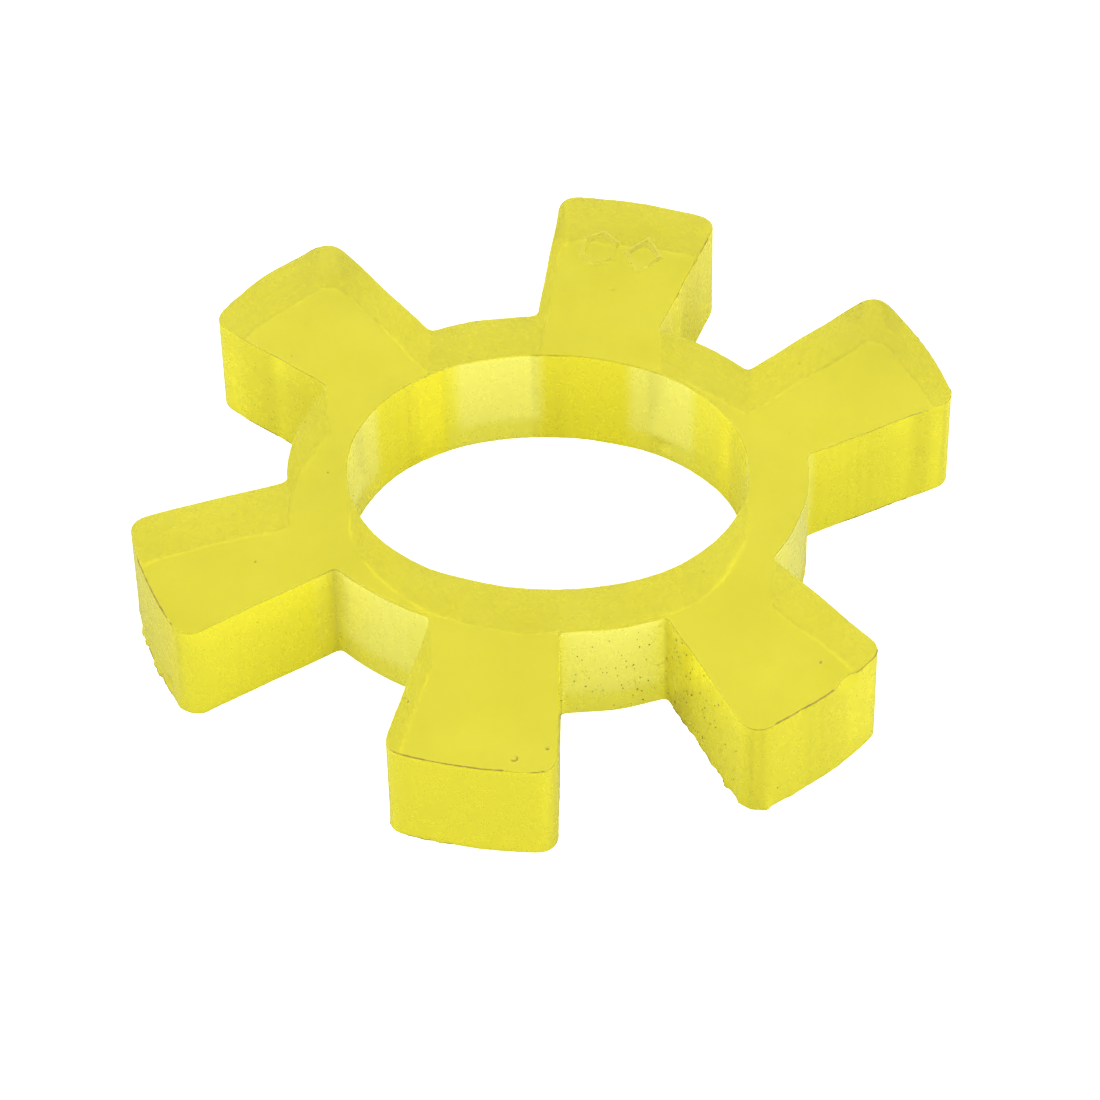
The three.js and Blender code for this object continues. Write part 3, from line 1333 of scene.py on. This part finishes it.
@dataclass
class Specks:
    """Dirt specks stuck to the casting, most of them low on one side.

    Attributes:
        casting: The finished casting, whose attribute dust says how many specks lie where.
        finish: What the specks are made of.
        seed: Seed of their places and sizes.
        density: How many there are per square metre where the dust is thickest.
        smallest: Radius of the smallest, in metres.
        largest: Radius of the largest, in metres.
        stretching: Least and most that a speck is stretched along its three sides.
    """

    casting: bpy.types.Object
    finish: Grime
    seed: int = 4
    density: float = 2.6e6
    smallest: float = 0.018 * MM
    largest: float = 0.06 * MM
    stretching: tuple[tuple[float, ...], ...] = ((0.6, 0.6, 0.6), (1.7, 1.3, 1.3))

    def tree(self) -> Nodes:
        """Builds the tree: little lumps scattered over the casting's skin."""
        tree, given = blank_tree("dirt_specks", {"Density": "NodeSocketFloat", "Smallest": "NodeSocketFloat",
                                                 "Largest": "NodeSocketFloat", "Seed": "NodeSocketInt",
                                                 "Material": "NodeSocketMaterial"})
        dust = node(tree, "GeometryNodeInputNamedAttribute", {"Name": "dust"}, data_type="FLOAT")
        thick = node(tree, "ShaderNodeMath", {0: dust.outputs["Attribute"], 1: given.outputs["Density"]},
                     operation="MULTIPLY")
        spots = node(tree, "GeometryNodeDistributePointsOnFaces",
                     {"Mesh": given.outputs["Geometry"], "Density": thick.outputs[0],
                      "Seed": given.outputs["Seed"]})
        lump = node(tree, "GeometryNodeMeshIcoSphere", {"Radius": 1.0, "Subdivisions": 1})
        size = node(tree, "FunctionNodeRandomValue",
                    {2: given.outputs["Smallest"], 3: given.outputs["Largest"],
                     "Seed": given.outputs["Seed"]}, data_type="FLOAT")
        least, most = self.stretching
        long = node(tree, "FunctionNodeRandomValue", {0: least, 1: most,
                                                     "Seed": given.outputs["Seed"]}, data_type="FLOAT_VECTOR")
        shape = node(tree, "ShaderNodeVectorMath", {0: long.outputs[0], "Scale": size.outputs[1]},
                     operation="SCALE")
        placed = node(tree, "GeometryNodeInstanceOnPoints",
                      {"Points": spots.outputs["Points"], "Instance": lump.outputs[0],
                       "Scale": shape.outputs[0]})
        close_tree(tree, placed.outputs[0], given)
        return tree

    def build(self) -> bpy.types.Object:
        """Builds the specks.

        Returns:
            The finished piece.
        """
        base = self.casting.data.copy()
        return grown("dirt_specks", base, self.tree(),
                     {"Density": self.density, "Smallest": self.smallest, "Largest": self.largest,
                      "Seed": self.seed, "Material": self.finish.material()})


# Studio ---------------------------------------------------------------------------------------


@dataclass
class Studio:
    """White board, soft light and camera.

    Attributes:
        azimuth: How far the camera stands round the casting, in radians.
        elevation: How far it looks down, in radians.
        roll: How far it is tilted sideways, in radians.
        distance: How far in front of the camera the aim point lies, in metres.
        aside: How far the aim point lies right of the middle of the view, in metres.
        above: How far the aim point lies above the middle of the view, in metres.
        lens: Focal length, in millimetres.
        film: Width of the film, in millimetres.
        nearest: Distance from which the camera sees, in metres.
        board_size: Width of the white board, in metres.
        board_gap: Gap under the casting, in metres.
        surround: Brightness of the white surroundings.
        bounces: How many times light may bounce or pass a surface.
        clamp: Brightest that one bounced ray may be, which keeps grains out of the walls.
        softbox_size: Width of each softbox, in metres.
        softbox_power: Power of each softbox, in watts.
        softbox_places: Where the softboxes hang, in metres.
    """

    azimuth: float = math.radians(14.39)
    elevation: float = math.radians(45.65)
    roll: float = math.radians(-1.23)
    distance: float = 322.7 * MM
    aside: float = -0.46 * MM
    above: float = 5.66 * MM
    lens: float = 155.8
    film: float = 36.0
    nearest: float = 0.01
    board_size: float = 6.0
    board_gap: float = 0.05 * MM
    surround: float = 1.08
    bounces: int = 24
    clamp: float = 2.5
    softbox_size: float = 0.8
    softbox_power: float = 1.9
    softbox_places: tuple[tuple[float, float, float], ...] = ((-0.45, -0.05, 0.35), (0.45, -0.05, 0.35))

    def camera(self, aim: Vector) -> None:
        """Sets up the camera.

        Args:
            aim: The point it is aimed by, in metres.
        """
        data = bpy.data.cameras.new("studio_camera")
        data.lens = self.lens
        data.sensor_width = self.film
        data.clip_start = self.nearest
        camera = bpy.data.objects.new("studio_camera", data)
        bpy.context.scene.collection.objects.link(camera)
        turn = (Matrix.Rotation(self.azimuth, 3, "Z")
                @ Matrix.Rotation(math.pi / 2 - self.elevation, 3, "X")
                @ Matrix.Rotation(self.roll, 3, "Z"))
        stand = aim - turn @ Vector((self.aside, self.above, -self.distance))
        camera.matrix_world = Matrix.Translation(stand) @ turn.to_4x4()
        bpy.context.scene.camera = camera

    def board(self, foot: float) -> None:
        """Lays the white board just under the casting.

        Args:
            foot: Height of the casting's underside, in metres.
        """
        half = self.board_size / 2
        height = foot - self.board_gap
        corners = np.array([(-half, -half, height), (half, -half, height),
                            (half, half, height), (-half, half, height)])
        mesh_object("white_board", corners, [(0, 1, 2, 3)], WhiteBoard().material())

    def light(self) -> None:
        """Lights the scene with white surroundings and a softbox on each side."""
        scene = bpy.context.scene
        scene.view_settings.view_transform = "Standard"
        scene.cycles.max_bounces = self.bounces
        scene.cycles.transmission_bounces = self.bounces
        scene.cycles.sample_clamp_indirect = self.clamp
        scene.world = bpy.data.worlds.new("white_surroundings")
        scene.world.use_nodes = True
        backdrop = scene.world.node_tree.nodes["Background"]
        backdrop.inputs["Color"].default_value = (1.0, 1.0, 1.0, 1.0)
        backdrop.inputs["Strength"].default_value = self.surround
        for place in self.softbox_places:
            lamp = bpy.data.lights.new("softbox", "AREA")
            lamp.size = self.softbox_size
            lamp.energy = self.softbox_power
            softbox = bpy.data.objects.new("softbox", lamp)
            softbox.location = place
            softbox.rotation_euler = (-Vector(place)).to_track_quat("-Z", "Y").to_euler()
            scene.collection.objects.link(softbox)


def hand_over(piece: bpy.types.Object, replaced: bool = False) -> None:
    """Rides a finished piece on the one body and reports it.

    Args:
        piece: The piece.
        replaced: Whether it stands for the CAD node.
    """
    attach(piece, BODY)
    if replaced:
        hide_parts(NODE)
    LOG.info("%s: %d faces", piece.name, len(piece.data.polygons))


def main() -> None:
    """Builds the studio and the casting."""
    logging.basicConfig(level=logging.INFO, format="%(name)s: %(message)s")
    star = Star(bpy.data.objects[NODE])
    foot, face, _ = star.heights()
    studio = Studio()
    studio.camera(Vector((0.0, 0.0, face)))
    studio.board(foot)
    studio.light()
    casting = Casting(star, Polyurethane()).build()
    hand_over(casting, replaced=True)
    hand_over(Flash(star, casting, Grime("dried_flash", (0.16, 0.10, 0.01), (0.40, 0.30, 0.05))).build())
    hand_over(Specks(casting, Grime("brown_dirt", (0.07, 0.045, 0.01), (0.24, 0.17, 0.03))).build())


if __name__ == "__main__":
    main()
